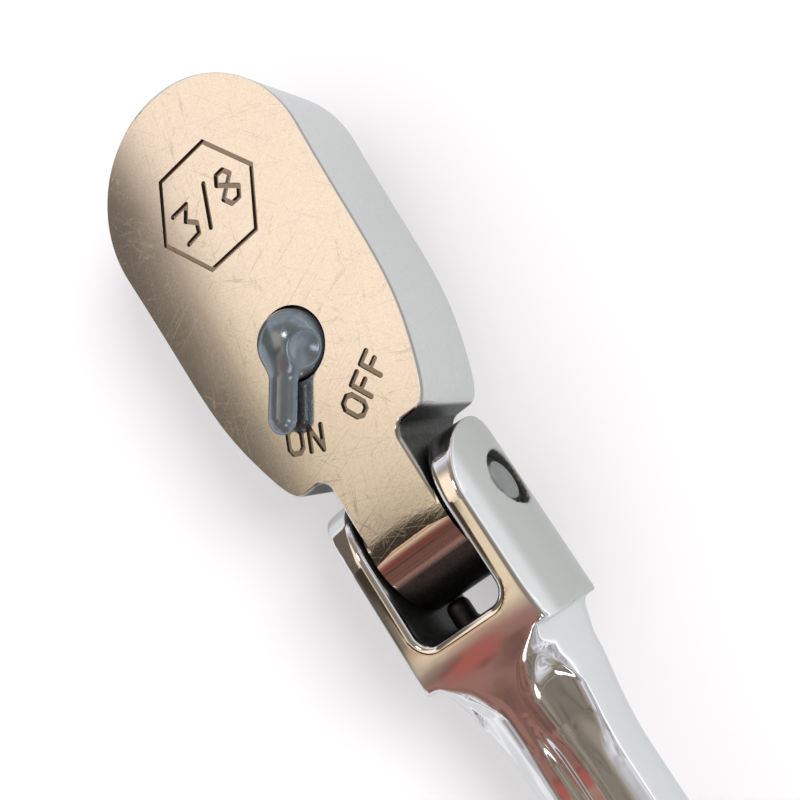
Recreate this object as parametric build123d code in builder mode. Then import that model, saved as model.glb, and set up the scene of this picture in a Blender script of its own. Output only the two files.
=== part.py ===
"""Flex-head ratchet wrench with a 3/8 inch square drive, in millimetres.

The row frame has its origin at the centre of the drive tang's end face. +Z runs up the drive
axis, away from the tang, and +X runs from the drive axis towards the end of the handle. The
wrench lies as it does on a bench: the tang stands flat, so the head is level, and the handle
slopes down from the hinge pin until its far end touches the same plane.
"""

from build123d import *
from math import asin, cos, pi, radians, sin
import os

os.makedirs("parts", exist_ok=True)

# ---------------------------------------------------------------- driving dimensions
DRIVE_SQUARE = 9.53          # across the flats of the 3/8 inch tang
TANG_LENGTH = 11.0
HEAD_THICKNESS = 14.1
HEAD_RADIUS = 14.25          # round end, about the drive axis
PIN_TO_DRIVE = 45.0
HANDLE_LENGTH = 226.0        # hinge pin to the end of the grip
WALL_TOP = 2.6               # metal left above the gear train

HEAD_BOTTOM = TANG_LENGTH
HEAD_TOP = HEAD_BOTTOM + HEAD_THICKNESS

# hinge: tongue on the head, fork on the handle
TONGUE_RADIUS = 7.4
TONGUE_HALF_WIDTH = 5.1
SLOT_HALF_WIDTH = 5.6
PIN_Z = HEAD_TOP - TONGUE_RADIUS
PIN_RADIUS = 2.7
PIN_RUNNING_CLEARANCE = 0.04
PIN_RECESS_RADIUS = 3.35
PIN_RECESS_DEPTH = 1.5
PIN_HALF_LENGTH = 9.6
JOINT_BORE_RADIUS = 1.5      # bore for the friction plunger, behind the slot
JOINT_BORE_Y = -3.2          # to one side, clear of the gap that shows through the slot
JOINT_BORE_LENGTH = 10.0     # from 1 mm inside the slot's end

# fork of the handle, measured from the pin
FORK_HALF_HEIGHT = 8.35
FORK_RIDGE_WIDTH = 10.4      # half width at the parting ridge
FORK_BULGE_WIDTH = 9.65      # half width midway between the ridge and those edges
FORK_TOP_WIDTH = 7.75        # half width at the top and bottom edges
FORK_LENGTH = 14.7           # pin to the step where the neck begins
SLOT_END = 10.6
SLOT_CORNER = 2.0

# handle beyond the fork
NECK_END = 30.0              # where the neck has drawn in to its flutes
NECK_HALF_WIDTH = 6.6
NECK_HALF_HEIGHT = 6.1
FLUTE_RADIUS = 4.35
FLUTE_START = 22.0
FLUTE_END = 88.0
GRIP_HALF_WIDTH = 10.0
GRIP_HALF_HEIGHT = 6.8
GRIP_END_RADIUS = 9.0        # round end, in plan
LONG_EDGE_RADIUS = 2.0       # along the neck and grip, and round the end
RIB_GROOVE_WIDTH = 1.0
RIB_GROOVE_DEPTH = 0.4

# ratchet train inside the head
GEAR_TEETH = 72
GEAR_TIP = 9.6
GEAR_ROOT = 9.1
GEAR_BORE = 9.75
GEAR_BOTTOM = HEAD_BOTTOM + 2.1
GEAR_TOP = GEAR_BOTTOM + 6.9
HUB_RADIUS = 6.9
JOURNAL_RADIUS = 6.0
BUSHING_RADIUS = 6.8
WASHER_THICKNESS = 0.5
COVER_RADIUS = 11.95
COVER_THICKNESS = 0.9
RING_THICKNESS = 0.7
DETENT_HEIGHT = 5.0          # detent ball centre above the tang's end
DETENT_BALL = 1.6

LEVER_X = PIN_TO_DRIVE - 24.6
LEVER_REST_ANGLE = -36.0     # tail direction at rest, from +X
LEVER_KNOB_RADIUS = 3.95
LEVER_RECESS_RADIUS = 4.3
LEVER_RECESS_DEPTH = 1.3
LEVER_SHAFT_RADIUS = 2.95
LEVER_TAIL_LENGTH = 10.2
LEVER_TAIL_WIDTH = 4.3
LEVER_TAIL_THICKNESS = 2.3
PAWL_PIVOT_X = 12.4
PAWL_TIP_ANGLE = 24.0        # middle of each set of pawl teeth, from the drive axis
PAWL_ROCK = 4.0              # half of the pawl's rocking travel
PLUNGER_RADIUS = 1.2
SLIDE_CLEARANCE = 0.05       # round plungers, balls and shafts

LETTER_DEPTH = 0.35
STROKE = 0.62                # width of every engraved line

# ---------------------------------------------------------------- worked out from them
grip_contact = HANDLE_LENGTH - LONG_EDGE_RADIUS
rest_slope = asin((PIN_Z - GRIP_HALF_HEIGHT) / grip_contact)
hinge_point = Vector(PIN_TO_DRIVE, 0, PIN_Z)
# The handle's own plane: x along the handle, y to the side, z out of its upper face.
handle_plane = Plane(
    origin=hinge_point,
    x_dir=(cos(rest_slope), 0, -sin(rest_slope)),
    z_dir=(sin(rest_slope), 0, cos(rest_slope)),
)
# The handle's side view: x along the handle, y out of its upper face, seen along +Y.
side_plane = Plane(
    origin=hinge_point, x_dir=handle_plane.x_dir, z_dir=-handle_plane.y_dir
)
# Sections across the handle: x to the side, y out of its upper face.
section_plane = Plane(
    origin=hinge_point, x_dir=handle_plane.y_dir, z_dir=handle_plane.x_dir
)
plunger_line = Plane(
    origin=section_plane.origin + Vector(0, JOINT_BORE_Y, 0),
    x_dir=section_plane.x_dir, z_dir=section_plane.z_dir,
)
gear_pitch = 2 * pi / GEAR_TEETH
lever_angle = radians(LEVER_REST_ANGLE)


def polar(radius, angle, centre=(0.0, 0.0)):
    """A point at a radius and an angle in radians about a centre."""
    return (centre[0] + radius * cos(angle), centre[1] + radius * sin(angle))


def save(part, name):
    """Label a finished piece and write its STEP file."""
    part.label = name
    export_step(part, f"parts/{name}.step")


# ---------------------------------------------------------------- handle with its fork
# The fork is the overlap of a barrel-sided section and a side view with round tips.
with BuildPart() as fork:
    with BuildSketch(section_plane.offset(-FORK_HALF_HEIGHT - 1)):
        with BuildLine():
            side = [
                (FORK_TOP_WIDTH, -FORK_HALF_HEIGHT),
                (FORK_BULGE_WIDTH, -FORK_HALF_HEIGHT / 2),
                (FORK_RIDGE_WIDTH, 0),
                (FORK_BULGE_WIDTH, FORK_HALF_HEIGHT / 2),
                (FORK_TOP_WIDTH, FORK_HALF_HEIGHT),
            ]
            ThreePointArc(*side[:3])
            ThreePointArc(*side[2:])
            Line(side[4], (-side[4][0], side[4][1]))
            mirrored = [(-across, up) for across, up in reversed(side)]
            ThreePointArc(*mirrored[:3])
            ThreePointArc(*mirrored[2:])
            Line(mirrored[4], side[0])
        make_face()
    extrude(amount=FORK_HALF_HEIGHT + 1 + FORK_LENGTH)
    with BuildSketch(side_plane):
        with Locations((FORK_LENGTH / 2, 0)):
            Rectangle(FORK_LENGTH, 2 * FORK_HALF_HEIGHT)
        Circle(FORK_HALF_HEIGHT)
    extrude(amount=FORK_RIDGE_WIDTH + 1, both=True, mode=Mode.INTERSECT)

# Neck and grip: plan and side outlines crossed, with the long edges rounded.
with BuildPart() as shank:
    with BuildSketch(handle_plane.offset(-FORK_HALF_HEIGHT)):
        with BuildLine():
            plan_start = (SLOT_END + 1.0, FORK_RIDGE_WIDTH - 1.3)
            plan_neck = (NECK_END, NECK_HALF_WIDTH)
            plan_swell = (FLUTE_END - 4, NECK_HALF_WIDTH + 0.6)
            plan_shoulder = (FLUTE_END + 22, GRIP_HALF_WIDTH - 0.9)
            plan_grip = (FLUTE_END + 52, GRIP_HALF_WIDTH)
            plan_end = (HANDLE_LENGTH - GRIP_END_RADIUS, GRIP_HALF_WIDTH - 0.6)
            for half in (1, -1):
                neck_line = [(x, half * y) for x, y in (plan_start, plan_neck, plan_swell)]
                grip_line = [(x, half * y) for x, y in (plan_swell, plan_shoulder, plan_grip)]
                Spline(*neck_line, tangents=[(1, -0.35 * half), (1, 0.02 * half)])
                Spline(*grip_line, tangents=[(1, 0.02 * half), (1, 0)])
                Line((plan_grip[0], half * plan_grip[1]), (plan_end[0], half * plan_end[1]))
            ThreePointArc(plan_end, (HANDLE_LENGTH, 0), (plan_end[0], -plan_end[1]))
            Line(plan_start, (plan_start[0], -plan_start[1]))
        make_face()
    extrude(amount=2 * FORK_HALF_HEIGHT)
    with BuildSketch(side_plane):
        with BuildLine():
            rise_start = (SLOT_END, FORK_HALF_HEIGHT - 0.05)
            rise_neck = (NECK_END + 4, NECK_HALF_HEIGHT)
            rise_grip = (FLUTE_END + 32, GRIP_HALF_HEIGHT)
            rise_end = (HANDLE_LENGTH + 1, GRIP_HALF_HEIGHT)
            for half in (1, -1):
                rise = [(x, half * y) for x, y in (rise_start, rise_neck, rise_grip, rise_end)]
                Spline(*rise, tangents=[(1, -0.12 * half), (1, 0)])
            Line(rise_start, (rise_start[0], -rise_start[1]))
            Line(rise_end, (rise_end[0], -rise_end[1]))
        make_face()
    extrude(amount=GRIP_HALF_WIDTH + 2, both=True, mode=Mode.INTERSECT)
    long_edges = shank.edges().filter_by(lambda edge: edge.length > 20)
    fillet(long_edges, radius=LONG_EDGE_RADIUS)

with BuildPart() as handle:
    add(fork.part)
    add(shank.part)
    # four scooped flutes along the neck, each with a ball end
    for side_sign in (1, -1):
        for face_sign in (1, -1):
            across = side_sign * (NECK_HALF_WIDTH - 0.3)
            up = face_sign * (NECK_HALF_HEIGHT + 0.1)
            with BuildSketch(section_plane.offset(FLUTE_START)):
                with Locations((across, up)):
                    Circle(FLUTE_RADIUS)
            extrude(amount=FLUTE_END - FLUTE_START, mode=Mode.SUBTRACT)
            for reach in (FLUTE_START, FLUTE_END):
                ball_place = Location(section_plane.offset(reach)) * Pos(across, up, 0)
                with Locations(ball_place):
                    Sphere(FLUTE_RADIUS, mode=Mode.SUBTRACT)
    # slot for the tongue
    slot_length = SLOT_END + 2 * FORK_HALF_HEIGHT
    with BuildSketch(handle_plane.offset(-FORK_HALF_HEIGHT - 1)):
        with Locations((SLOT_END - slot_length / 2, 0)):
            RectangleRounded(slot_length, 2 * SLOT_HALF_WIDTH, SLOT_CORNER)
    extrude(amount=2 * FORK_HALF_HEIGHT + 2, mode=Mode.SUBTRACT)
    # pin hole through both arms, recessed at both ends
    with BuildSketch(side_plane):
        Circle(PIN_RADIUS)
    extrude(amount=FORK_RIDGE_WIDTH + 1, both=True, mode=Mode.SUBTRACT)
    for recess_sign in (1, -1):
        with BuildSketch(side_plane.offset(recess_sign * (FORK_RIDGE_WIDTH - PIN_RECESS_DEPTH))):
            Circle(PIN_RECESS_RADIUS)
        extrude(amount=recess_sign * (PIN_RECESS_DEPTH + 1), mode=Mode.SUBTRACT)
    # bore for the joint plunger, in the bridge behind the slot
    with BuildSketch(plunger_line.offset(SLOT_END - 1)):
        Circle(JOINT_BORE_RADIUS)
    extrude(amount=JOINT_BORE_LENGTH, mode=Mode.SUBTRACT)
    # fine groove along the top and bottom ribs
    for face_sign in (1, -1):
        with BuildSketch(handle_plane.offset(face_sign * (NECK_HALF_HEIGHT - RIB_GROOVE_DEPTH))):
            with Locations(((FLUTE_START + FLUTE_END) / 2, 0)):
                SlotOverall(FLUTE_END - FLUTE_START, RIB_GROOVE_WIDTH)
        extrude(amount=face_sign * 3, mode=Mode.SUBTRACT)
save(handle.part, "handle")

# ---------------------------------------------------------------- hinge pin, washers, plunger
with BuildPart() as pivot_pin:
    with BuildSketch(side_plane):
        Circle(PIN_RADIUS)
    extrude(amount=PIN_HALF_LENGTH, both=True)
    pin_rims = pivot_pin.edges().filter_by(GeomType.CIRCLE).group_by(Axis.Y)
    chamfer(pin_rims[0] + pin_rims[-1], length=0.4)
save(pivot_pin.part, "pivot_pin")

WASHER_GAP = 0.05
with BuildPart() as joint_washers:
    for washer_sign in (1, -1):
        with BuildSketch(side_plane.offset(washer_sign * (TONGUE_HALF_WIDTH + WASHER_GAP))):
            Circle(5.2)
            Circle(PIN_RADIUS + 0.05, mode=Mode.SUBTRACT)
        washer_space = SLOT_HALF_WIDTH - TONGUE_HALF_WIDTH - 2 * WASHER_GAP
        extrude(amount=washer_sign * washer_space)
save(joint_washers.part, "joint_washers")

JOINT_PLUNGER_TIP = TONGUE_RADIUS + 0.04
JOINT_PLUNGER_BACK = 14.0
JOINT_PLUNGER_RADIUS = JOINT_BORE_RADIUS - 0.1
JOINT_BORE_END = SLOT_END - 1 + JOINT_BORE_LENGTH
with BuildPart() as joint_plunger:
    with BuildSketch(plunger_line.offset(JOINT_PLUNGER_TIP)):
        Circle(JOINT_PLUNGER_RADIUS)
    extrude(amount=JOINT_PLUNGER_BACK - JOINT_PLUNGER_TIP)
    fillet(joint_plunger.edges().filter_by(GeomType.CIRCLE).sort_by(Axis.X)[0], radius=1.0)
save(joint_plunger.part, "joint_plunger")


def coil_spring(plane, length, coil_radius, wire_radius, turns):
    """An open coil spring along a plane's normal, with its first wire centre on the plane."""
    spring_path = Helix(
        pitch=length / turns, height=length, radius=coil_radius, center=(0, 0, 0)
    )
    spring_path = plane.from_local_coords(Edge(spring_path.wrapped))
    with BuildPart() as spring:
        with BuildLine():
            add(spring_path)
        with BuildSketch(Plane(origin=spring_path @ 0, z_dir=spring_path % 0)):
            Circle(wire_radius)
        sweep(is_frenet=True)
    return spring.part


joint_spring_start = JOINT_PLUNGER_BACK + 0.5
joint_spring_length = JOINT_BORE_END - 0.5 - joint_spring_start
save(
    coil_spring(plunger_line.offset(joint_spring_start), joint_spring_length, 1.0, 0.22, 6),
    "joint_spring",
)

# ---------------------------------------------------------------- engraved marks
# ON and OFF beside the lever, and a hexagon round the drive size, drawn as single strokes.
LETTER_STROKES = {
    "N": [[(-0.8, -1.35), (-0.8, 1.35), (0.8, -1.35), (0.8, 1.35)]],
    "F": [[(-0.7, -1.35), (-0.7, 1.35), (0.85, 1.35)], [(-0.7, 0.1), (0.6, 0.1)]],
    "O": [[(-0.45, -1.35), (0.45, -1.35), (0.9, -0.8), (0.9, 0.8), (0.45, 1.35),
           (-0.45, 1.35), (-0.9, 0.8), (-0.9, -0.8), (-0.45, -1.35)]],
    "3": [[(-0.8, 1.35), (0.8, 1.35), (0.0, 0.3), (0.8, -0.45), (0.5, -1.25), (-0.8, -1.35)]],
    "/": [[(-0.7, -1.6), (0.7, 1.6)]],
    "8": [[(0.0, 0.1), (-0.75, 0.7), (-0.35, 1.35), (0.35, 1.35), (0.75, 0.7), (0.0, 0.1),
           (-0.85, -0.6), (-0.4, -1.35), (0.4, -1.35), (0.85, -0.6), (0.0, 0.1)]],
}
EMBLEM_CENTRE = (1.0, 0.0)
EMBLEM_RADIUS = 7.6
lever_centre = Vector(LEVER_X, 0)
# word, centre, letter spacing, letter scale; letter tops face the lever, or the round end
MARKS = (
    ("ON", Vector(PIN_TO_DRIVE - 15.1, -4.6), 2.7, 1.0, lever_centre),
    ("OFF", Vector(PIN_TO_DRIVE - 15.8, 4.8), 2.5, 1.0, lever_centre),
    ("3/8", Vector(*EMBLEM_CENTRE), 3.4, 1.45, Vector(-100, 0)),
)


def word_strokes(word, spacing, scale):
    """The start and end of every stroke of a word centred on the origin."""
    for place, letter in enumerate(word):
        shift = (place - (len(word) - 1) / 2) * spacing
        for stroke in LETTER_STROKES[letter]:
            points = [(shift + x * scale, y * scale) for x, y in stroke]
            yield from zip(points, points[1:])


def mark_plane(centre, facing):
    """A plane above the top face whose y axis points from a centre towards a point."""
    up = (facing - centre).normalized()
    return Plane(origin=(centre.X, centre.Y, HEAD_TOP + 1), x_dir=(up.Y, -up.X, 0), z_dir=(0, 0, 1))


def draw_strokes(strokes):
    """Draw round-ended strokes in the open sketch."""
    for start, end in strokes:
        middle = ((start[0] + end[0]) / 2, (start[1] + end[1]) / 2)
        SlotCenterPoint(middle, end, STROKE)


# ---------------------------------------------------------------- head body
with BuildPart() as head_body:
    with BuildSketch(Plane.XY.offset(HEAD_BOTTOM)):
        with BuildLine():
            notch_x = PIN_TO_DRIVE - 10.3
            notch_fillet = 1.5
            corner_radius = 1.4
            corner_centre = (notch_x - corner_radius, 8.35)
            round_start = radians(87)
            round_end = polar(HEAD_RADIUS, round_start)
            corner_start = polar(corner_radius, radians(45), corner_centre)
            corner_middle = polar(corner_radius, radians(22.5), corner_centre)
            notch_outer = (notch_x, corner_centre[1])
            notch_inner = (notch_x, TONGUE_HALF_WIDTH + notch_fillet)
            tongue_start = (notch_x + notch_fillet, TONGUE_HALF_WIDTH)
            tongue_end = (PIN_TO_DRIVE, TONGUE_HALF_WIDTH)
            fillet_middle = polar(notch_fillet, radians(225), (tongue_start[0], notch_inner[1]))
            flank = [round_end, (12.0, 13.8), (23.0, 13.1), (30.2, 11.3), corner_start]
            ThreePointArc(round_end, (-HEAD_RADIUS, 0), (round_end[0], -round_end[1]))
            for half in (1, -1):
                Spline(
                    *[(x, half * y) for x, y in flank],
                    tangents=[(sin(round_start), -half * cos(round_start)), (1, -half)],
                )
                for middle, start, end in (
                    (corner_middle, corner_start, notch_outer),
                    (fillet_middle, notch_inner, tongue_start),
                ):
                    ThreePointArc(*[(x, half * y) for x, y in (start, middle, end)])
                for start, end in ((notch_outer, notch_inner), (tongue_start, tongue_end)):
                    Line(*[(x, half * y) for x, y in (start, end)])
            Line(tongue_end, (tongue_end[0], -tongue_end[1]))
        make_face()
    extrude(amount=HEAD_THICKNESS)
    rim_edges = head_body.faces().sort_by(Axis.Z)[-1].edges()
    rim_edges += head_body.faces().sort_by(Axis.Z)[0].edges()
    rim_edges = rim_edges.filter_by(lambda edge: edge.center().X < PIN_TO_DRIVE - 0.1)
    fillet(rim_edges, radius=0.55)
    # eye of the tongue, round about the hinge pin
    with BuildSketch(Plane.XZ.offset(-TONGUE_HALF_WIDTH)):
        with Locations((PIN_TO_DRIVE, PIN_Z)):
            Circle(TONGUE_RADIUS)
    extrude(amount=2 * TONGUE_HALF_WIDTH)
    # slight crown across the top face
    CROWN_RADIUS = 260.0
    with BuildSketch(Plane.YZ.offset(-HEAD_RADIUS - 1)):
        with Locations((0, HEAD_TOP - CROWN_RADIUS)):
            Circle(CROWN_RADIUS)
    extrude(amount=HEAD_RADIUS + PIN_TO_DRIVE + TONGUE_RADIUS + 2, mode=Mode.INTERSECT)
    # gear cavity, open at the bottom, with the cover's counterbore and ring groove
    cavity_steps = (
        (HEAD_BOTTOM - 1, COVER_RADIUS + 0.05, GEAR_BOTTOM - 0.1),
        (HEAD_BOTTOM + 0.35, COVER_RADIUS + 0.65, HEAD_BOTTOM + 0.45 + RING_THICKNESS),
        (GEAR_BOTTOM - 0.1, GEAR_BORE, GEAR_TOP + WASHER_THICKNESS + 0.05),
        (GEAR_TOP, BUSHING_RADIUS, HEAD_TOP - WALL_TOP),
    )
    for step_bottom, step_radius, step_top in cavity_steps:
        with BuildSketch(Plane.XY.offset(step_bottom)):
            Circle(step_radius)
        extrude(amount=step_top - step_bottom, mode=Mode.SUBTRACT)
    # pawl pocket between the gear and the lever
    with BuildSketch(Plane.XY.offset(GEAR_BOTTOM - 0.1)):
        with Locations((11.3, 0)):
            RectangleRounded(9.0, 13.8, 1.5)
        with Locations((16.5, 0)):
            RectangleRounded(5.8, 8.6, 0.8)
    extrude(amount=GEAR_TOP - GEAR_BOTTOM + 0.1, mode=Mode.SUBTRACT)
    # lever bore, its retaining groove and the knob's recess
    lever_steps = (
        (GEAR_BOTTOM + 0.4, LEVER_SHAFT_RADIUS + SLIDE_CLEARANCE, HEAD_TOP + 1),
        (GEAR_BOTTOM + 0.7, LEVER_SHAFT_RADIUS + 0.55, GEAR_BOTTOM + 1.5),
        (HEAD_TOP - LEVER_RECESS_DEPTH, LEVER_RECESS_RADIUS, HEAD_TOP + 1),
    )
    for step_bottom, step_radius, step_top in lever_steps:
        with BuildSketch(Plane.XY.offset(step_bottom)):
            with Locations((LEVER_X, 0)):
                Circle(step_radius)
        extrude(amount=step_top - step_bottom, mode=Mode.SUBTRACT)
    # hinge bore
    with BuildSketch(Plane.XZ.offset(-TONGUE_HALF_WIDTH - 1)):
        with Locations((PIN_TO_DRIVE, PIN_Z)):
            Circle(PIN_RADIUS + PIN_RUNNING_CLEARANCE)
    extrude(amount=2 * TONGUE_HALF_WIDTH + 2, mode=Mode.SUBTRACT)

    # engraved marks
    for word, centre, spacing, scale, facing in MARKS:
        with BuildSketch(mark_plane(centre, facing)):
            draw_strokes(word_strokes(word, spacing, scale))
        extrude(amount=-1 - LETTER_DEPTH, mode=Mode.SUBTRACT)
    with BuildSketch(mark_plane(Vector(*EMBLEM_CENTRE), Vector(-100, 0))):
        RegularPolygon(EMBLEM_RADIUS, 6)
        RegularPolygon(EMBLEM_RADIUS - STROKE, 6, mode=Mode.SUBTRACT)
    extrude(amount=-1 - LETTER_DEPTH, mode=Mode.SUBTRACT)
save(head_body.part, "head_body")

# ---------------------------------------------------------------- gear train
with BuildPart() as drive_gear:
    tooth_points = [
        polar(radius, gear_pitch * (tooth + offset))
        for tooth in range(GEAR_TEETH)
        for radius, offset in ((GEAR_ROOT, 0.0), (GEAR_TIP, 0.5))
    ]
    with BuildSketch(Plane.XY.offset(GEAR_BOTTOM)):
        Polygon(*tooth_points, align=None)
    extrude(amount=GEAR_TOP - GEAR_BOTTOM)
    with BuildSketch(Plane.XY.offset(HEAD_BOTTOM - 0.5)):
        Circle(HUB_RADIUS)
    extrude(amount=GEAR_BOTTOM - HEAD_BOTTOM + 0.5)
    with BuildSketch(Plane.XY.offset(GEAR_TOP)):
        Circle(JOURNAL_RADIUS - 0.04)
    extrude(amount=HEAD_TOP - WALL_TOP - 0.1 - GEAR_TOP)
    with BuildSketch():
        RectangleRounded(DRIVE_SQUARE, DRIVE_SQUARE, 0.9)
    extrude(amount=HEAD_BOTTOM - 0.5)
    chamfer(drive_gear.faces().sort_by(Axis.Z)[0].edges(), length=0.6)
    # blind hole for the detent ball and its spring
    DETENT_BOTTOM = -2.6
    with BuildSketch(Plane.YZ.offset(DETENT_BOTTOM)):
        with Locations((0, DETENT_HEIGHT)):
            Circle(DETENT_BALL + SLIDE_CLEARANCE)
    extrude(amount=DRIVE_SQUARE, mode=Mode.SUBTRACT)
save(drive_gear.part, "drive_gear")

DETENT_PROUD = 0.6
detent_centre_x = DRIVE_SQUARE / 2 + DETENT_PROUD - DETENT_BALL
with BuildPart() as socket_detent_ball:
    with Locations((detent_centre_x, 0, DETENT_HEIGHT)):
        Sphere(DETENT_BALL)
save(socket_detent_ball.part, "socket_detent_ball")

detent_spring_start = DETENT_BOTTOM + 0.35
detent_spring_length = detent_centre_x - DETENT_BALL * 0.8 - 0.4 - detent_spring_start
save(
    coil_spring(
        Plane(origin=(detent_spring_start, 0, DETENT_HEIGHT), x_dir=(0, 1, 0), z_dir=(1, 0, 0)),
        detent_spring_length, 1.0, 0.22, 4,
    ),
    "socket_detent_spring",
)


def flat_ring(outer, inner, bottom, thickness, gap=0.0):
    """A flat ring about the drive axis, optionally open on its -X side."""
    with BuildPart() as ring:
        with BuildSketch(Plane.XY.offset(bottom)):
            Circle(outer)
            Circle(inner, mode=Mode.SUBTRACT)
            if gap:
                with Locations((-(outer + inner) / 2, 0)):
                    Rectangle(outer, gap, mode=Mode.SUBTRACT)
        extrude(amount=thickness)
    return ring.part


save(
    flat_ring(GEAR_BORE - 0.35, BUSHING_RADIUS + 0.1, GEAR_TOP + 0.03, WASHER_THICKNESS - 0.03),
    "gear_thrust_washer",
)
save(
    flat_ring(BUSHING_RADIUS, JOURNAL_RADIUS, GEAR_TOP + 0.6, HEAD_TOP - WALL_TOP - GEAR_TOP - 0.65),
    "gear_bushing",
)
save(
    flat_ring(COVER_RADIUS, HUB_RADIUS + 0.08, GEAR_BOTTOM - 0.1 - COVER_THICKNESS, COVER_THICKNESS),
    "cover_plate",
)
save(
    flat_ring(COVER_RADIUS + 0.55, COVER_RADIUS - 1.3, HEAD_BOTTOM + 0.4, RING_THICKNESS, gap=3.0),
    "cover_retaining_ring",
)
HUB_SEAL_WIRE = 0.55
with BuildPart() as hub_seal:
    with Locations((0, 0, GEAR_BOTTOM - 0.15 - COVER_THICKNESS - HUB_SEAL_WIRE)):
        Torus(HUB_RADIUS + 0.1 + HUB_SEAL_WIRE, HUB_SEAL_WIRE)
save(hub_seal.part, "hub_seal")

# ---------------------------------------------------------------- pawl
# Drawn where it rests, with its +Y end rocked into the gear, then given the same teeth at
# its other end, mirrored as they stand when it has rocked the other way.
PAWL_BACK_RADIUS = 5.1
PAWL_TOOTH_TIP = GEAR_ROOT + 0.27
PAWL_HALF_WIDTH = 6.2
PAWL_BACK_X = 14.8
PAWL_DEPTH = 7.2
PAWL_BODY_GAP = 0.55
pawl_pivot = (PAWL_PIVOT_X, 0.0)
pawl_bottom = GEAR_BOTTOM + 0.1
pawl_height = GEAR_TOP - GEAR_BOTTOM - 0.2
with BuildPart() as pawl:
    neutral_plane = Plane(
        origin=(*pawl_pivot, pawl_bottom),
        x_dir=(cos(radians(PAWL_ROCK)), sin(radians(PAWL_ROCK)), 0),
        z_dir=(0, 0, 1),
    )
    with BuildSketch(neutral_plane):
        with Locations((PAWL_BACK_X - PAWL_PIVOT_X - PAWL_DEPTH / 2, 0)):
            RectangleRounded(PAWL_DEPTH, 2 * PAWL_HALF_WIDTH, 1.0)
        with Locations((-PAWL_PIVOT_X, 0)):
            Circle(GEAR_TIP + PAWL_BODY_GAP, mode=Mode.SUBTRACT)
        with Locations((LEVER_X - PAWL_PIVOT_X, 0)):
            Circle(PAWL_BACK_RADIUS, mode=Mode.SUBTRACT)
    extrude(amount=pawl_height)
    tip_valley = round(radians(PAWL_TIP_ANGLE) / gear_pitch)
    tooth_base = GEAR_TIP + 0.9
    for end_sign in (1, -1):
        # the far end's teeth are mirrored in the neutral plane, then drawn on it
        with BuildSketch(Plane.XY.offset(pawl_bottom) if end_sign == 1 else neutral_plane):
            for valley in range(tip_valley - 2, tip_valley + 3):
                tooth = [
                    polar(tooth_base, gear_pitch * (valley - 0.36)),
                    polar(PAWL_TOOTH_TIP, gear_pitch * (valley - 0.04)),
                    polar(PAWL_TOOTH_TIP, gear_pitch * (valley + 0.04)),
                    polar(tooth_base, gear_pitch * (valley + 0.36)),
                ]
                if end_sign == -1:
                    turned = [
                        Vector(x - PAWL_PIVOT_X, y).rotate(Axis.Z, -PAWL_ROCK) for x, y in tooth
                    ]
                    tooth = [(point.X, -point.Y) for point in reversed(turned)]
                Polygon(*tooth, align=None)
        extrude(amount=pawl_height)
save(pawl.part, "pawl")

# ---------------------------------------------------------------- reversing lever
lever_axis_plane = Plane(
    origin=(LEVER_X, 0, 0), x_dir=(cos(lever_angle), sin(lever_angle), 0), z_dir=(0, 0, 1)
)
SHAFT_BOTTOM = GEAR_BOTTOM + 0.5
SEAL_BOTTOM = HEAD_TOP - LEVER_RECESS_DEPTH - 1.1
PLUNGER_Z = (GEAR_BOTTOM + GEAR_TOP) / 2
PLUNGER_TIP = PAWL_BACK_RADIUS - 0.1
PLUNGER_BACK = 0.7
KNOB_BASE = HEAD_TOP - LEVER_RECESS_DEPTH + 0.1
KNOB_TOP = HEAD_TOP + 3.7
KNOB_ROUNDING = 2.4
TAIL_BOTTOM = HEAD_TOP + 0.3
with BuildPart() as reversing_lever:
    with BuildSketch(lever_axis_plane.offset(SHAFT_BOTTOM)):
        Circle(LEVER_SHAFT_RADIUS)
    extrude(amount=KNOB_BASE - SHAFT_BOTTOM)
    with BuildSketch(lever_axis_plane.offset(KNOB_BASE)):
        Circle(LEVER_KNOB_RADIUS)
    extrude(amount=KNOB_TOP - KNOB_BASE)
    knob_edge = reversing_lever.edges().filter_by(GeomType.CIRCLE).sort_by(Axis.Z)[-1]
    fillet(knob_edge, radius=KNOB_ROUNDING)
    with BuildSketch(lever_axis_plane.offset(TAIL_BOTTOM)):
        tail_round = LEVER_TAIL_LENGTH - LEVER_TAIL_WIDTH / 2
        with Locations((tail_round / 2, 0)):
            Rectangle(tail_round, LEVER_TAIL_WIDTH)
        with Locations((tail_round, 0)):
            Circle(LEVER_TAIL_WIDTH / 2)
    extrude(amount=LEVER_TAIL_THICKNESS)
    # groove for the seal, groove for the snap ring, and the plunger's cross hole
    shaft_grooves = (
        (SEAL_BOTTOM, LEVER_SHAFT_RADIUS - 0.9, 1.0),
        (GEAR_BOTTOM + 0.75, LEVER_SHAFT_RADIUS - 0.5, 0.7),
    )
    for groove_bottom, groove_radius, groove_height in shaft_grooves:
        with BuildSketch(lever_axis_plane.offset(groove_bottom)):
            Circle(LEVER_SHAFT_RADIUS + 0.5)
            Circle(groove_radius, mode=Mode.SUBTRACT)
        extrude(amount=groove_height, mode=Mode.SUBTRACT)
    plunger_plane = Plane(
        origin=(LEVER_X, 0, PLUNGER_Z), x_dir=lever_axis_plane.y_dir, z_dir=-lever_axis_plane.x_dir
    )
    with BuildSketch(plunger_plane.offset(-1.8)):
        Circle(PLUNGER_RADIUS + SLIDE_CLEARANCE)
    extrude(amount=2 * LEVER_SHAFT_RADIUS, mode=Mode.SUBTRACT)
save(reversing_lever.part, "reversing_lever")

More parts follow.
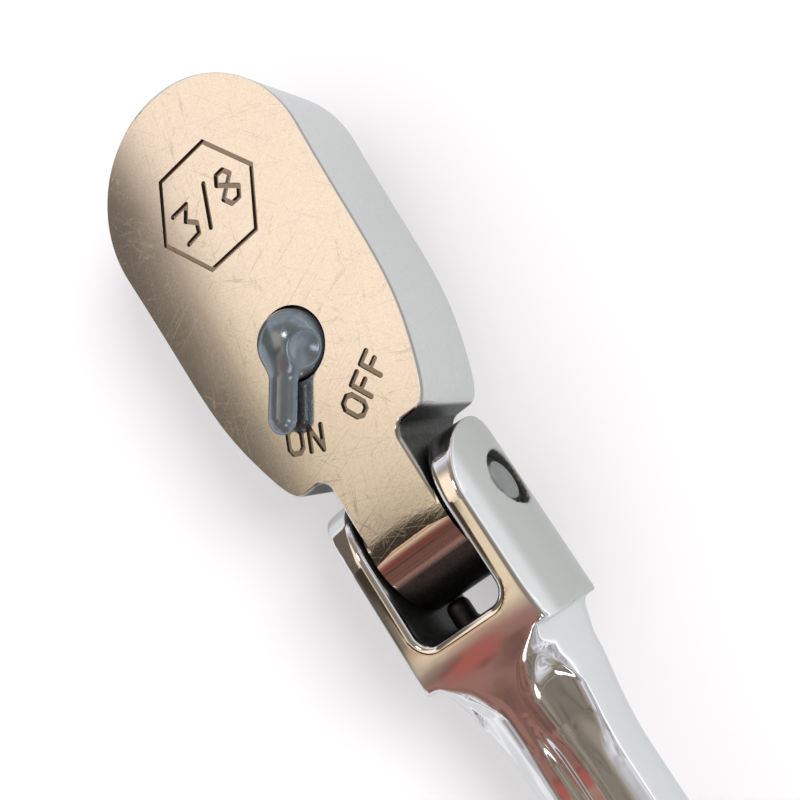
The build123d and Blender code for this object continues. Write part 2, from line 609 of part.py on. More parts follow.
with BuildPart() as pawl_plunger:
    with BuildSketch(plunger_plane.offset(PLUNGER_BACK)):
        Circle(PLUNGER_RADIUS)
    extrude(amount=PLUNGER_TIP - PLUNGER_BACK)
    tip_edge = pawl_plunger.edges().filter_by(GeomType.CIRCLE).sort_by(Axis.X)[0]
    fillet(tip_edge, radius=0.9)
save(pawl_plunger.part, "pawl_plunger")
save(coil_spring(plunger_plane.offset(-1.55), 1.95, 0.8, 0.18, 3), "pawl_spring")

with BuildPart() as lever_seal:
    with Locations((LEVER_X, 0, SEAL_BOTTOM + 0.5)):
        Torus(LEVER_SHAFT_RADIUS - 0.45, 0.43)
save(lever_seal.part, "lever_seal")

with BuildPart() as lever_snap_ring:
    with BuildSketch(lever_axis_plane.offset(GEAR_BOTTOM + 0.8)):
        Circle(LEVER_SHAFT_RADIUS + 0.45)
        Circle(LEVER_SHAFT_RADIUS - 0.45, mode=Mode.SUBTRACT)
        with Locations((LEVER_SHAFT_RADIUS, 0)):
            Rectangle(2.4, 2.0, mode=Mode.SUBTRACT)
    extrude(amount=0.6)
save(lever_snap_ring.part, "lever_snap_ring")
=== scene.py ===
"""Looks for the flex-head ratchet wrench: finishes, detailed pieces, floor, light and camera.

Everything Blender holds is in metres in the part's frame: origin under the drive tang, +Z up,
+X to the handle's end. Shapes are drawn in millimetres and turned into metres by MM.
"""

import math

import bpy
import numpy as np
from mathutils import Matrix, Vector


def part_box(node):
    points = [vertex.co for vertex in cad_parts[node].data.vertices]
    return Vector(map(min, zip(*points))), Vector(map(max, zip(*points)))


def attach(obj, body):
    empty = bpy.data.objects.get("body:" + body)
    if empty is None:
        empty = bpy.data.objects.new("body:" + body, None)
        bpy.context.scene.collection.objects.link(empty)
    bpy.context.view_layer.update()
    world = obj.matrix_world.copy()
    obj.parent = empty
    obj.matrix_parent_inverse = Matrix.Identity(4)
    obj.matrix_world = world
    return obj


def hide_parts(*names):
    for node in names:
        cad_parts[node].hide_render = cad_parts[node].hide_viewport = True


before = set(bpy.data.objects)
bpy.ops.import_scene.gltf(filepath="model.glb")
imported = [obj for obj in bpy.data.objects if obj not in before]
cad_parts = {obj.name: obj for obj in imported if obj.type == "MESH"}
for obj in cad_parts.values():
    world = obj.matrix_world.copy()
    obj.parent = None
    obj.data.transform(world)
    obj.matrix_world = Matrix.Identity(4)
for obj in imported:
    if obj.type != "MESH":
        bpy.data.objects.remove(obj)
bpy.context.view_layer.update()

MM = 0.001
scene = bpy.context.scene

# ---------------------------------------------------------------- camera
CAMERA_PLACE = Vector((66.1, 59.0, 141.2)) * MM
CAMERA_AIM = Vector((31.0, 4.3, 18.0)) * MM
CAMERA_ROLL = -92.5          # degrees about the line of sight
CAMERA_LENS = 56.6
SENSOR_WIDTH = 36.0


def make_camera():
    """The viewing angle: above the head's left side, looking down along the handle."""
    data = bpy.data.cameras.new("camera")
    data.lens = CAMERA_LENS
    data.sensor_width = SENSOR_WIDTH
    data.clip_start = 0.005
    camera = bpy.data.objects.new("camera", data)
    scene.collection.objects.link(camera)
    aim = (CAMERA_AIM - CAMERA_PLACE).to_track_quat("-Z", "Y")
    roll = Matrix.Rotation(math.radians(CAMERA_ROLL), 4, "Z")
    camera.matrix_world = Matrix.Translation(CAMERA_PLACE) @ aim.to_matrix().to_4x4() @ roll
    scene.camera = camera


make_camera()


# ---------------------------------------------------------------- node helpers
def add_node(tree, kind, inputs=None, **settings):
    """Add a node, set its properties, and link or set its inputs."""
    made = tree.nodes.new(kind)
    for key, value in settings.items():
        setattr(made, key, value)
    for key, value in (inputs or {}).items():
        if isinstance(value, bpy.types.NodeSocket):
            tree.links.new(value, made.inputs[key])
        else:
            made.inputs[key].default_value = value
    return made


def blend_range(tree, value, start, end):
    """0 below start, 1 above end, smooth between; start may be above end."""
    ramp = add_node(
        tree, "ShaderNodeMapRange", {0: value, 1: min(start, end), 2: max(start, end)},
        interpolation_type="SMOOTHSTEP",
    )
    if start > end:
        ramp.inputs[3].default_value, ramp.inputs[4].default_value = 1.0, 0.0
    return ramp.outputs[0]


def calculate(tree, operation, first, second=0.0, third=0.0):
    """One Math node."""
    return add_node(
        tree, "ShaderNodeMath", {0: first, 1: second, 2: third}, operation=operation
    ).outputs[0]


def mix_colour(tree, factor, first, second):
    """Blend two colours."""
    mixer = add_node(tree, "ShaderNodeMix", data_type="RGBA")
    for place, value in ((0, factor), (6, first), (7, second)):
        if isinstance(value, bpy.types.NodeSocket):
            tree.links.new(value, mixer.inputs[place])
        else:
            mixer.inputs[place].default_value = value
    return mixer.outputs[2]


def rgb(red, green, blue):
    """A linear colour with full alpha."""
    return (red, green, blue, 1.0)


# ---------------------------------------------------------------- floor, light and room
FLOOR_REACH = 3.0
FLOOR_COLOUR = rgb(0.96, 0.94, 0.93)
# painted shade: beside the wrench the floor is darker grey, only where the metal mirrors it
FLOOR_MIRRORED_SHADE_NEAR = rgb(0.68, 0.70, 0.70)   # what the metal mirrors of the floor beside it
FLOOR_MIRRORED_FAR = rgb(1.0, 1.0, 1.0)


def make_floor():
    """The pale bench that the wrench lies on."""
    mesh = bpy.data.meshes.new("floor")
    corners = ((-1, -1), (1, -1), (1, 1), (-1, 1))
    mesh.from_pydata(
        [(x * FLOOR_REACH, y * FLOOR_REACH, 0) for x, y in corners], [], [(0, 1, 2, 3)]
    )
    floor = bpy.data.objects.new("floor", mesh)
    scene.collection.objects.link(floor)
    material = bpy.data.materials.new("floor")
    material.use_nodes = True
    tree = material.node_tree
    shader = tree.nodes["Principled BSDF"]
    glossy = add_node(tree, "ShaderNodeLightPath").outputs["Is Glossy Ray"]
    place = add_node(tree, "ShaderNodeTexCoord").outputs["Object"]
    across = add_node(tree, "ShaderNodeSeparateXYZ", {0: place}).outputs[1]
    # painted shade in reflections: the floor within about 9 cm of the wrench's long axis is
    # mirrored darker
    away = blend_range(tree, calculate(tree, "ABSOLUTE", across), 0.09, 0.25)
    mirrored = mix_colour(tree, away, FLOOR_MIRRORED_SHADE_NEAR, FLOOR_MIRRORED_FAR)
    colour = mix_colour(tree, glossy, FLOOR_COLOUR, mirrored)
    tree.links.new(colour, shader.inputs["Base Color"])
    shader.inputs["Roughness"].default_value = 0.6
    shader.inputs["Specular IOR Level"].default_value = 0.2
    mesh.materials.append(material)


ROOM_LIGHT = rgb(0.83, 0.83, 0.85)      # what lights the scene and what the camera sees
WALL_COLOUR = rgb(0.95, 0.95, 1.0)      # the rest is seen only in reflections
OVERHEAD_COLOUR = rgb(0.34, 0.29, 0.23)
CLOUD_COLOUR = rgb(0.10, 0.09, 0.085)
CLUTTER_COLOUR = rgb(0.05, 0.03, 0.025)

# Soft shapes overhead, each painted over the ones before it: its name, where it lies (the x and
# y of its direction), its reach, its softness and its colour.
ROOM_SHAPES = (
    ("ceiling", (-0.25, -0.42), (0.50, 0.30), 0.5, rgb(0.88, 0.71, 0.50)),
    ("lamp", (-0.48, -0.28), (0.26, 0.22), 0.7, rgb(1.17, 0.95, 0.75)),
    ("pink_wall", (0.55, -0.42), (0.42, 0.40), 0.30, rgb(0.33, 0.17, 0.14)),
    ("dark_shelf", (-0.42, -0.66), (0.50, 0.14), 0.40, rgb(0.13, 0.11, 0.085)),
    ("dark_corner", (-0.74, -0.60), (0.42, 0.18), 0.36, rgb(0.15, 0.12, 0.095)),
    ("red_box", (0.215, -0.470), (0.038, 0.090), 0.8, rgb(0.40, 0.12, 0.10)),
    ("dark_bar", (-0.088, -0.455), (0.085, 0.18), 0.12, rgb(0.05, 0.035, 0.025)),
    ("orange_strip", (0.05, -0.45), (0.035, 0.16), 0.6, rgb(0.62, 0.36, 0.22)),
    ("bulb", (-0.405, 0.137), (0.09, 0.09), 0.6, rgb(9.0, 8.6, 8.0)),
    ("near_lamp", (0.52, 0.40), (0.13, 0.10), 0.5, rgb(3.0, 3.0, 3.1)),
    ("far_lamp", (0.66, -0.10), (0.10, 0.09), 0.5, rgb(3.0, 3.0, 3.1)),
)


def make_world():
    """A plain white room for light, and a warm room with a few soft shapes for reflections."""
    world = bpy.data.worlds.new("studio")
    scene.world = world
    world.use_nodes = True
    tree = world.node_tree
    tree.nodes.clear()
    direction = add_node(tree, "ShaderNodeTexCoord").outputs["Generated"]
    height = add_node(tree, "ShaderNodeSeparateXYZ", {0: direction}).outputs[2]
    overhead = blend_range(tree, height, 0.30, 0.60)
    seen = mix_colour(tree, overhead, WALL_COLOUR, OVERHEAD_COLOUR)
    clouds = add_node(
        tree, "ShaderNodeTexNoise", {"Vector": direction, "Scale": 3.5, "Detail": 3.0}
    ).outputs["Fac"]
    shade = calculate(tree, "MULTIPLY", blend_range(tree, clouds, 0.35, 0.65), 0.45)
    seen = mix_colour(tree, shade, seen, CLOUD_COLOUR)
    for _, centre, reach, softness, colour in ROOM_SHAPES:
        away = add_node(
            tree, "ShaderNodeVectorMath", {0: direction, 1: (*centre, 0)}, operation="SUBTRACT"
        ).outputs[0]
        squeezed = add_node(
            tree, "ShaderNodeVectorMath", {0: away, 1: (1 / reach[0], 1 / reach[1], 0)},
            operation="MULTIPLY",
        ).outputs[0]
        distance = add_node(
            tree, "ShaderNodeVectorMath", {0: squeezed}, operation="LENGTH"
        ).outputs["Value"]
        cover = blend_range(tree, distance, 1 + softness / 2, 1 - softness / 2)
        seen = mix_colour(tree, cover, seen, colour)
    # the clutter of a workshop: dark streaks on the handle's side of the room
    stretched = add_node(
        tree, "ShaderNodeVectorMath", {0: direction, 1: (9.0, 2.0, 3.0)}, operation="MULTIPLY"
    ).outputs[0]
    streaks = add_node(
        tree, "ShaderNodeTexNoise", {"Vector": stretched, "Scale": 2.4, "Detail": 4.0}
    ).outputs["Fac"]
    side = add_node(tree, "ShaderNodeSeparateXYZ", {0: direction}).outputs[0]
    share = calculate(
        tree, "MULTIPLY", blend_range(tree, streaks, 0.46, 0.66),
        blend_range(tree, side, 0.05, 0.25),
    )
    seen = mix_colour(tree, calculate(tree, "MULTIPLY", share, 0.6), seen, CLUTTER_COLOUR)
    glossy = add_node(tree, "ShaderNodeLightPath").outputs["Is Glossy Ray"]
    shown = mix_colour(tree, glossy, ROOM_LIGHT, seen)
    background = add_node(tree, "ShaderNodeBackground", {0: shown, 1: 1.0})
    output = add_node(tree, "ShaderNodeOutputWorld")
    tree.links.new(background.outputs[0], output.inputs[0])


SOFTBOX_PLACE = Vector((0.15, 0.75, 0.80))
SOFTBOX_SIZE = 0.35
SOFTBOX_WATTS = 5.8


def make_light():
    """One broad, weak softbox, so that the wrench throws a faint soft shadow."""
    data = bpy.data.lights.new("softbox", "AREA")
    data.size = SOFTBOX_SIZE
    data.energy = SOFTBOX_WATTS
    light = bpy.data.objects.new("softbox", data)
    scene.collection.objects.link(light)
    light.visible_glossy = False
    aim = (-SOFTBOX_PLACE).to_track_quat("-Z", "Y")
    light.matrix_world = Matrix.Translation(SOFTBOX_PLACE) @ aim.to_matrix().to_4x4()


make_light()
make_floor()
make_world()
scene.view_settings.view_transform = "Standard"


# ---------------------------------------------------------------- materials
def new_material(name, base, metallic, roughness):
    """A material with its tree, its shader, and the rest-frame position in millimetres."""
    material = bpy.data.materials.new(name)
    material.use_nodes = True
    tree = material.node_tree
    shader = tree.nodes["Principled BSDF"]
    shader.inputs["Base Color"].default_value = base
    shader.inputs["Metallic"].default_value = metallic
    shader.inputs["Roughness"].default_value = roughness
    place = add_node(tree, "ShaderNodeTexCoord").outputs["Object"]
    millimetres = add_node(
        tree, "ShaderNodeVectorMath", {0: place, 3: 1 / MM}, operation="SCALE"
    ).outputs[0]
    return material, tree, shader, millimetres


def noise(tree, place, scale, detail=3.0, roughness=0.55, stretch=(1, 1, 1)):
    """Noise with its grain size set in features per millimetre."""
    stretched = add_node(
        tree, "ShaderNodeVectorMath", {0: place, 1: stretch}, operation="MULTIPLY"
    ).outputs[0]
    return add_node(
        tree, "ShaderNodeTexNoise",
        {"Vector": stretched, "Scale": scale, "Detail": detail, "Roughness": roughness},
    ).outputs["Fac"]


def scratches(tree, place, angle, scale, sharpness=0.02):
    """Thin lines in one direction: 1 in a scratch, 0 elsewhere."""
    turned = add_node(
        tree, "ShaderNodeVectorRotate", {"Vector": place, "Angle": math.radians(angle)},
        rotation_type="Z_AXIS",
    ).outputs[0]
    lines = noise(tree, turned, scale, detail=2.0, stretch=(0.06, 1.0, 1.0))
    off_line = calculate(tree, "ABSOLUTE", calculate(tree, "SUBTRACT", lines, 0.5))
    return blend_range(tree, off_line, sharpness, 0.0)


def distance_from(tree, place, centre):
    """How far a flattened place is from a centre, given by its x and y."""
    return add_node(
        tree, "ShaderNodeVectorMath", {0: place, 1: (*centre, 0)}, operation="DISTANCE"
    ).outputs["Value"]


def set_bump(tree, shader, height, strength, depth):
    """Raise the surface by a height field; depth is in millimetres."""
    bump = add_node(
        tree, "ShaderNodeBump", {"Height": height, "Strength": strength, "Distance": depth * MM}
    )
    tree.links.new(bump.outputs[0], shader.inputs["Normal"])


def forged_and_shaded_colour(tree, place):
    """Dark, mottled unplated forging, its darkest patches near-black as painted shade."""
    mottle = noise(tree, place, 2.5, detail=5.0, roughness=0.7)
    return mix_colour(tree, mottle, FORGING_SHADE_DARK, FORGING_LIGHT)


# Places on the head, in the part's frame, that the finishes below depend on.
HEAD_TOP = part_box("head_body")[1][2] / MM
HEAD_CROWN = 1 / 520         # fall of the top face to its sides, per mm squared
MARKS = (((1.0, 0.0), 9.5), ((29.5, 0.0), 8.5))   # centre and reach of the emblem and the words
LEVER_CENTRE = (20.4, 0.0)
LEVER_RECESS_RADIUS = 4.4
TONGUE_START = 34.5
TONGUE_HALF_WIDTH = 5.0
TONGUE_POLISH_START = 42.0

PLATING = rgb(0.86, 0.855, 0.86)
# the forging's near-black end is painted shade in the slot and the recesses
FORGING_SHADE_DARK = rgb(0.012, 0.012, 0.012)
FORGING_LIGHT = rgb(0.20, 0.195, 0.185)


def satin_chrome():
    """Brushed satin chrome, handled for years, with dirt in its engraved marks, a painted brown
    reflection along its rolled edge, and painted shade in the lever's recess and on its unplated
    steel.
    """
    material, tree, shader, place = new_material(
        "satin_chrome", rgb(0.83, 0.825, 0.82), 1.0, 0.2
    )
    smear = noise(tree, place, 0.12, detail=4.0)
    grain = noise(tree, place, 4.0, detail=3.0, stretch=(1.0, 0.35, 1.0))
    lines = scratches(tree, place, 20, 0.5, 0.006)
    for angle, scale in ((70, 0.4), (-35, 0.6), (115, 0.45)):
        lines = calculate(tree, "MAXIMUM", lines, scratches(tree, place, angle, scale, 0.005))
    rough = calculate(tree, "MULTIPLY_ADD", smear, 0.10, 0.08)
    rough = calculate(tree, "MULTIPLY_ADD", lines, 0.10, rough)
    brushed = noise(tree, place, 6.0, detail=3.0, roughness=0.7, stretch=(1.0, 0.45, 1.0))
    steel = mix_colour(
        tree, blend_range(tree, brushed, 0.3, 0.7), rgb(0.77, 0.76, 0.75), rgb(0.87, 0.865, 0.86)
    )
    steel = mix_colour(
        tree, calculate(tree, "MULTIPLY", lines, 0.16), steel, rgb(0.45, 0.42, 0.39)
    )
    height = calculate(tree, "MULTIPLY_ADD", lines, -0.2, grain)
    set_bump(tree, shader, height, 0.2, 0.005)
    # the tongue's round end is rubbed smoother
    x, y, z = add_node(tree, "ShaderNodeSeparateXYZ", {0: place}).outputs
    polish = blend_range(tree, x, TONGUE_POLISH_START, 44.0)
    rough = calculate(tree, "MULTIPLY", rough, calculate(tree, "MULTIPLY_ADD", polish, -0.7, 1.0))
    # engraved marks: below the crowned top face, near the emblem or the two words
    squared = calculate(tree, "MULTIPLY", y, y)
    crown = calculate(tree, "MULTIPLY_ADD", squared, -HEAD_CROWN, HEAD_TOP)
    depth = calculate(tree, "SUBTRACT", crown, z)
    sunk = calculate(
        tree, "MULTIPLY", blend_range(tree, depth, 0.02, 0.12), blend_range(tree, depth, 0.5, 0.45)
    )
    flat = add_node(tree, "ShaderNodeVectorMath", {0: place, 1: (1, 1, 0)}, operation="MULTIPLY")
    near = []
    for centre, reach in MARKS:
        away = distance_from(tree, flat.outputs[0], centre)
        near.append(blend_range(tree, away, reach, reach - 0.2))
    inside = calculate(tree, "MAXIMUM", *near)
    dirt = calculate(tree, "MULTIPLY", sunk, inside)
    dirt = calculate(tree, "MULTIPLY", dirt, 0.8)
    # the rolled edge of the top face gets a painted brown reflection, and the lever's recess is
    # painted black as shade
    rim_reflection = calculate(
        tree, "MULTIPLY", blend_range(tree, depth, 0.03, 0.15), blend_range(tree, depth, 0.8, 0.5)
    )
    rim_reflection = calculate(tree, "MULTIPLY", rim_reflection, calculate(tree, "SUBTRACT", 1.0, inside))
    colour = mix_colour(tree, calculate(tree, "MULTIPLY", rim_reflection, 0.65), steel, rgb(0.26, 0.18, 0.13))
    colour = mix_colour(tree, dirt, colour, rgb(0.10, 0.075, 0.05))
    # painted shade: the gap round the lever is painted near-black
    from_lever = distance_from(tree, flat.outputs[0], LEVER_CENTRE)
    recess_shade = calculate(
        tree, "MULTIPLY", blend_range(tree, from_lever, 4.5, LEVER_RECESS_RADIUS),
        blend_range(tree, depth, 0.1, 0.3),
    )
    colour = mix_colour(tree, recess_shade, colour, rgb(0.015, 0.014, 0.013))
    # unplated forged steel, partly painted near-black as shade, in the notch, on the tongue's
    # cheeks and under its round end
    cheek = calculate(
        tree, "MULTIPLY", blend_range(tree, x, TONGUE_START, 34.75),
        blend_range(tree, calculate(tree, "ABSOLUTE", y), TONGUE_HALF_WIDTH, 5.08),
    )
    under = calculate(
        tree, "MULTIPLY", blend_range(tree, x, 44.0, 46.0), blend_range(tree, z, 24.3, 23.9)
    )
    bare = calculate(tree, "MAXIMUM", cheek, under)
    bare = calculate(tree, "MULTIPLY", bare, blend_range(tree, depth, 0.3, 0.7))
    colour = mix_colour(tree, bare, colour, forged_and_shaded_colour(tree, place))
    tree.links.new(colour, shader.inputs["Base Color"])
    tree.links.new(
        calculate(tree, "MULTIPLY_ADD", bare, 0.35, rough), shader.inputs["Roughness"]
    )
    return material


def chrome():
    """Polished chrome with a few light handling marks, unplated and painted dark as shade inside
    its slot.
    """
    material, tree, shader, place = new_material("chrome", PLATING, 1.0, 0.07)
    smear = noise(tree, place, 0.15, detail=4.0)
    lines = scratches(tree, place, 8, 0.3, 0.004)
    rough = calculate(tree, "MULTIPLY_ADD", smear, 0.06, 0.04)
    rough = calculate(tree, "MULTIPLY_ADD", lines, 0.05, rough)
    waviness = noise(tree, place, 0.5, detail=1.0)
    # unplated forged steel, partly painted near-black as shade, where the piece says so
    bare = add_node(tree, "ShaderNodeAttribute", attribute_name="bare").outputs["Fac"]
    # the fork's outer cheeks are satin, and duller
    x, y, _ = add_node(tree, "ShaderNodeSeparateXYZ", {0: place}).outputs
    cheek = calculate(
        tree, "MULTIPLY", blend_range(tree, x, 60.2, 59.4),
        blend_range(tree, calculate(tree, "ABSOLUTE", y), 8.6, 9.3),
    )
    plated = mix_colour(tree, cheek, PLATING, rgb(0.63, 0.625, 0.60))
    colour = mix_colour(tree, bare, plated, forged_and_shaded_colour(tree, place))
    tree.links.new(colour, shader.inputs["Base Color"])
    rough = calculate(tree, "MULTIPLY_ADD", cheek, 0.12, rough)
    rough = calculate(tree, "MULTIPLY_ADD", bare, 0.45, rough)
    tree.links.new(rough, shader.inputs["Roughness"])
    scale = noise(tree, place, 2.5, detail=5.0, roughness=0.7)
    pitted = calculate(tree, "MULTIPLY", calculate(tree, "MULTIPLY", scale, bare), 6.0)
    set_bump(tree, shader, calculate(tree, "ADD", waviness, pitted), 0.25, 0.02)
    return material


def cast_lever():
    """Bead-blasted, nickel-plated cast metal, blue-grey, in paler and darker patches."""
    material, tree, shader, place = new_material(
        "cast_lever", rgb(0.3, 0.34, 0.38), 0.75, 0.3
    )
    patches = noise(tree, place, 0.5, detail=4.0)
    colour = mix_colour(tree, patches, rgb(0.17, 0.21, 0.24), rgb(0.28, 0.325, 0.355))
    tree.links.new(colour, shader.inputs["Base Color"])
    tree.links.new(calculate(tree, "MULTIPLY_ADD", patches, 0.12, 0.13), shader.inputs["Roughness"])
    set_bump(tree, shader, noise(tree, place, 5.0, detail=3.0), 0.3, 0.02)
    return material


def plain_metal(name, dark, light, roughness, grain=3.0, depth=0.01):
    """Machined metal with mottled colour and a fine grain."""
    material, tree, shader, place = new_material(name, light, 1.0, roughness)
    patches = noise(tree, place, 0.6, detail=4.0)
    tree.links.new(mix_colour(tree, patches, dark, light), shader.inputs["Base Color"])
    rough = calculate(tree, "MULTIPLY_ADD", patches, 0.2, roughness - 0.1)
    tree.links.new(rough, shader.inputs["Roughness"])
    set_bump(tree, shader, noise(tree, place, grain, detail=3.0), 0.3, depth)
    return material


def rubber():
    """Black nitrile rubber."""
    material, tree, shader, place = new_material(
        "seal_rubber", rgb(0.02, 0.02, 0.02), 0.0, 0.5
    )
    patches = noise(tree, place, 1.5, detail=4.0)
    colour = mix_colour(tree, patches, rgb(0.012, 0.012, 0.012), rgb(0.035, 0.034, 0.033))
    tree.links.new(colour, shader.inputs["Base Color"])
    tree.links.new(calculate(tree, "MULTIPLY_ADD", patches, 0.3, 0.35), shader.inputs["Roughness"])
    set_bump(tree, shader, noise(tree, place, 8.0), 0.3, 0.02)
    return material


MATERIALS = {
    "chrome": chrome(),
    "satin_chrome": satin_chrome(),
    "cast_lever": cast_lever(),
    "dark_steel": plain_metal("dark_steel", rgb(0.22, 0.22, 0.21), rgb(0.46, 0.46, 0.45), 0.34),
    "hardened_steel": plain_metal(
        "hardened_steel", rgb(0.34, 0.33, 0.32), rgb(0.55, 0.54, 0.53), 0.3
    ),
    # near-black steel, given to the joint's plunger
    "oiled_steel": plain_metal("oiled_steel", rgb(0.03, 0.03, 0.03), rgb(0.10, 0.10, 0.095), 0.5),
    "spring_steel": plain_metal("spring_steel", rgb(0.4, 0.4, 0.42), rgb(0.6, 0.6, 0.62), 0.3),
    "bronze": plain_metal("bronze", rgb(0.42, 0.24, 0.10), rgb(0.62, 0.38, 0.18), 0.36),
    "seal_rubber": rubber(),
}


def dress_cad_nodes():
    """Give every CAD node the finish of its material slot, and make the joint's plunger near-black.
    """
    for name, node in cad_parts.items():
        slots = [entry.material.name if entry.material else "" for entry in node.material_slots]
        for place, slot_name in enumerate(slots):
            finish = next((key for key in MATERIALS if slot_name.startswith(key)), None)
            if name == "joint_plunger":
                finish = "oiled_steel"
            if finish:
                node.material_slots[place].material = MATERIALS[finish]


# ---------------------------------------------------------------- smooth shapes from distances
# A shape is a field: a function of x, y and z arrays that is negative inside the metal.
def soft_max(first, second, radius):
    """The larger of two fields, which keeps what both shapes hold, with a rounded edge."""
    share = np.clip(0.5 + 0.5 * (first - second) / radius, 0, 1)
    return second + (first - second) * share + radius * share * (1 - share)


def soft_min(first, second, radius):
    """The smaller of two fields, which joins two shapes with a fillet."""
    return -soft_max(-first, -second, radius)


def ease(x, start, end):
    """0 before start, 1 after end, smooth between."""
    share = np.clip((x - start) / (end - start), 0, 1)
    return share * share * (3 - 2 * share)


def mesh_vertices(field, axes):
    """One vertex for each grid cell that the surface crosses, and the cells' numbers."""
    value = field(*np.meshgrid(*axes, indexing="ij"))
    cells = tuple(size - 1 for size in value.shape)
    total = np.zeros(cells + (3,))
    count = np.zeros(cells)
    for along in range(3):
        others = [axis for axis in range(3) if axis != along]
        low = np.take(value, range(cells[along]), axis=along)
        high = np.take(value, range(1, cells[along] + 1), axis=along)
        crossed = (low < 0) != (high < 0)
        share = np.where(crossed, low / np.where(crossed, low - high, 1), 0)
        corner = [np.asarray(axis) for axis in axes]
        start = corner[along][:-1]
        step = np.diff(corner[along])
        shape = [1, 1, 1]
        shape[along] = -1
        point = start.reshape(shape) + share * step.reshape(shape)
        for first in (0, 1):
            for second in (0, 1):
                pick = [slice(None)] * 3
                pick[others[0]] = slice(first, first + cells[others[0]])
                pick[others[1]] = slice(second, second + cells[others[1]])
                here = crossed[tuple(pick)]
                count += here
                total[..., along] += np.where(here, point[tuple(pick)], 0)
                for other, shift in zip(others, (first, second)):
                    line = corner[other][shift:shift + cells[other]]
                    shape_other = [1, 1, 1]
                    shape_other[other] = -1
                    total[..., other] += here * line.reshape(shape_other)
    used = count > 0
    number = np.full(cells, -1)
    number[used] = np.arange(used.sum())
    return total[used] / count[used][:, None], number, value


def mesh_faces(value, number):
    """A quad round every grid edge that the surface crosses, facing out of the metal."""
    faces = []
    for turn in ((0, 1, 2), (1, 2, 0), (2, 0, 1)):
        inside = value.transpose(turn) < 0
        cell = number.transpose(turn)
        low = inside[:-1, 1:-1, 1:-1]
        high = inside[1:, 1:-1, 1:-1]
        quads = np.stack(
            [cell[:, :-1, :-1], cell[:, 1:, :-1], cell[:, 1:, 1:], cell[:, :-1, 1:]], axis=-1
        )
        faces.append(quads[low & ~high])
        faces.append(quads[high & ~low][:, ::-1])
    return np.concatenate(faces)


def slopes(field, points, step=0.02):
    """The field's gradient at points."""
    columns = []
    for axis in range(3):
        shift = np.zeros(3)
        shift[axis] = step
        ahead = field(*(points + shift).T)
        behind = field(*(points - shift).T)
        columns.append((ahead - behind) / (2 * step))
    return np.stack(columns, axis=1)


# A grid's vertices are moved onto the surface in a few short steps along the field's slope.
SETTLING_ROUNDS = 3
GENTLEST_SLOPE = 0.2
LONGEST_MOVE = 0.2


def shape_piece(name, field, axes, place, material, bare=None):
    """Mesh a field, move it from its own millimetre frame to its place, and finish it.

    Where given, the last argument is a function like the field that says where the metal is
    unplated and painted dark as shade.
    """
    points, number, value = mesh_vertices(field, axes)
    faces = mesh_faces(value, number)
    for _ in range(SETTLING_ROUNDS):
        slope = slopes(field, points)
        steep = np.maximum((slope ** 2).sum(axis=1), GENTLEST_SLOPE)
        move = slope * (field(*points.T) / steep)[:, None]
        reach = np.linalg.norm(move, axis=1, keepdims=True)
        points = points - move * np.minimum(1, LONGEST_MOVE / np.maximum(reach, 1e-9))
    slope = slopes(field, points)
    share = bare(*points.T) if bare else None
    turn = np.array(place.to_3x3())
    normals = (slope / np.linalg.norm(slope, axis=1, keepdims=True)) @ turn.T
    points = (points @ turn.T + np.array(place.translation)) * MM
    mesh = bpy.data.meshes.new(name)
    mesh.from_pydata(points.tolist(), [], faces.tolist())
    if bare:
        mesh.attributes.new("bare", "FLOAT", "POINT").data.foreach_set("value", share)
    mesh.polygons.foreach_set("use_smooth", [True] * len(mesh.polygons))
    mesh.normals_split_custom_set_from_vertices(normals.tolist())
    mesh.materials.append(material)
    piece = bpy.data.objects.new(name, mesh)
    scene.collection.objects.link(piece)
    return piece


# ---------------------------------------------------------------- handle
# The handle's frame: x along it from the hinge pin, y to the side, z out of its upper face.
PIN_RADIUS = 2.7
PIN_RECESS_RADIUS = 3.35
PIN_RECESS_DEPTH = 1.5
FORK_HALF_HEIGHT = 8.35
FORK_HALF_WIDTH = 9.6        # without its pads
FORK_RIDGE_WIDTH = 10.4
FORK_LENGTH = 14.7
PAD_TAPER = 0.042            # fall of a pad's side away from its ridge, per mm
PAD_BARREL = 0.033           # and per mm squared
SLOT_HALF_WIDTH = 5.6
SLOT_END = 10.6
SLOT_CORNER = 2.0
PLUNGER_BORE = 1.5
PLUNGER_BORE_Y = -3.2
PLUNGER_BORE_MIDDLE = 13.6   # along the handle
PLUNGER_BORE_HALF_LENGTH = 6.0
NECK_START = 9.0
NECK_END = 31.0
NECK_HALF_WIDTH = 6.6
NECK_SWELL = 0.6             # how much wider each side of the neck gets before the grip
NECK_FAR_HALF_WIDTH = 7.2
NECK_HALF_HEIGHT = 6.1
FLUTE_RADIUS = 8.7
FLUTE_CENTRE = (7.9, 6.65)   # to the side of the neck's middle, and above its top face
FLUTE_START = 20.0
FLUTE_END = 88.0
GRIP_HALF_WIDTH = 10.0
GRIP_HALF_HEIGHT = 6.8
GRIP_TAPER = 0.6             # how much narrower each side of the grip gets towards its end
GRIP_END_RADIUS = 9.4
HANDLE_LENGTH = 226.0
LONG_EDGE_RADIUS = 2.0
CROWN = 0.005                # fall of the fork's top face to its sides, per mm squared
GROOVE_START = 21.5
GROOVE_RADIUS = 0.85


def slot_field(x, y):
    """The straight-through slot for the head's tongue, negative in the gap."""
    across, back = np.abs(y) - SLOT_HALF_WIDTH + SLOT_CORNER, x - SLOT_END + SLOT_CORNER
    corner = np.hypot(np.maximum(across, 0), np.maximum(back, 0)) - SLOT_CORNER
    return corner + np.minimum(np.maximum(across, back), 0)


